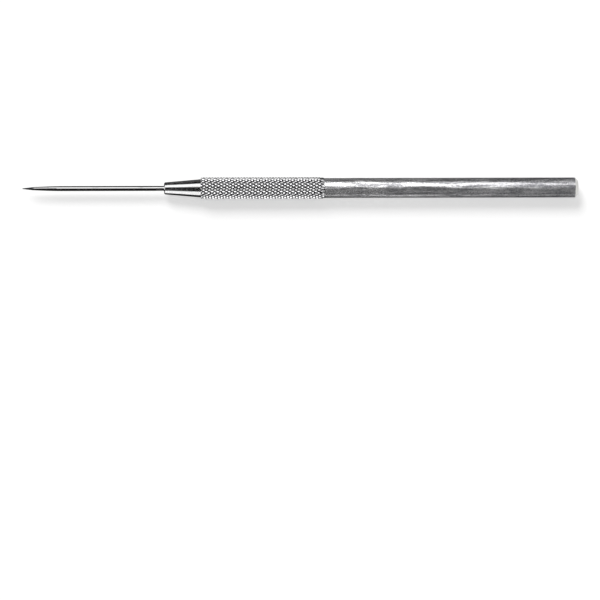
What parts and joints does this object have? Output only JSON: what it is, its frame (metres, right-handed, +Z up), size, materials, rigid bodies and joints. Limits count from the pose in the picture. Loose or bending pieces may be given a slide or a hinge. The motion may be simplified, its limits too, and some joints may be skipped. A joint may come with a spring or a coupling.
{
  "type": "pottery needle tool",
  "caption": "Needle tool for clay: a long ground steel needle bonded into a slim aluminium handle with a tapered nose and a diamond-knurled grip.",
  "frame": {"origin": "under the middle of the tool's whole length, at the lowest crests of the knurl that it lies on", "axes": "+X along the tool from the needle's tip to the handle's rear end, +Z up as it lies"},
  "size_m": [0.177, 0.007, 0.007],
  "materials": {
    "handle": "mill-finish aluminium bar with a bright turned nose and a rolled diamond knurl",
    "needle": "polished hardened steel with a ground point",
    "bond": "cured retaining adhesive"
  },
  "bodies": {
    "root": {"handle": "handle", "needle": "needle", "bond": "bond"}
  },
  "joints": []
}
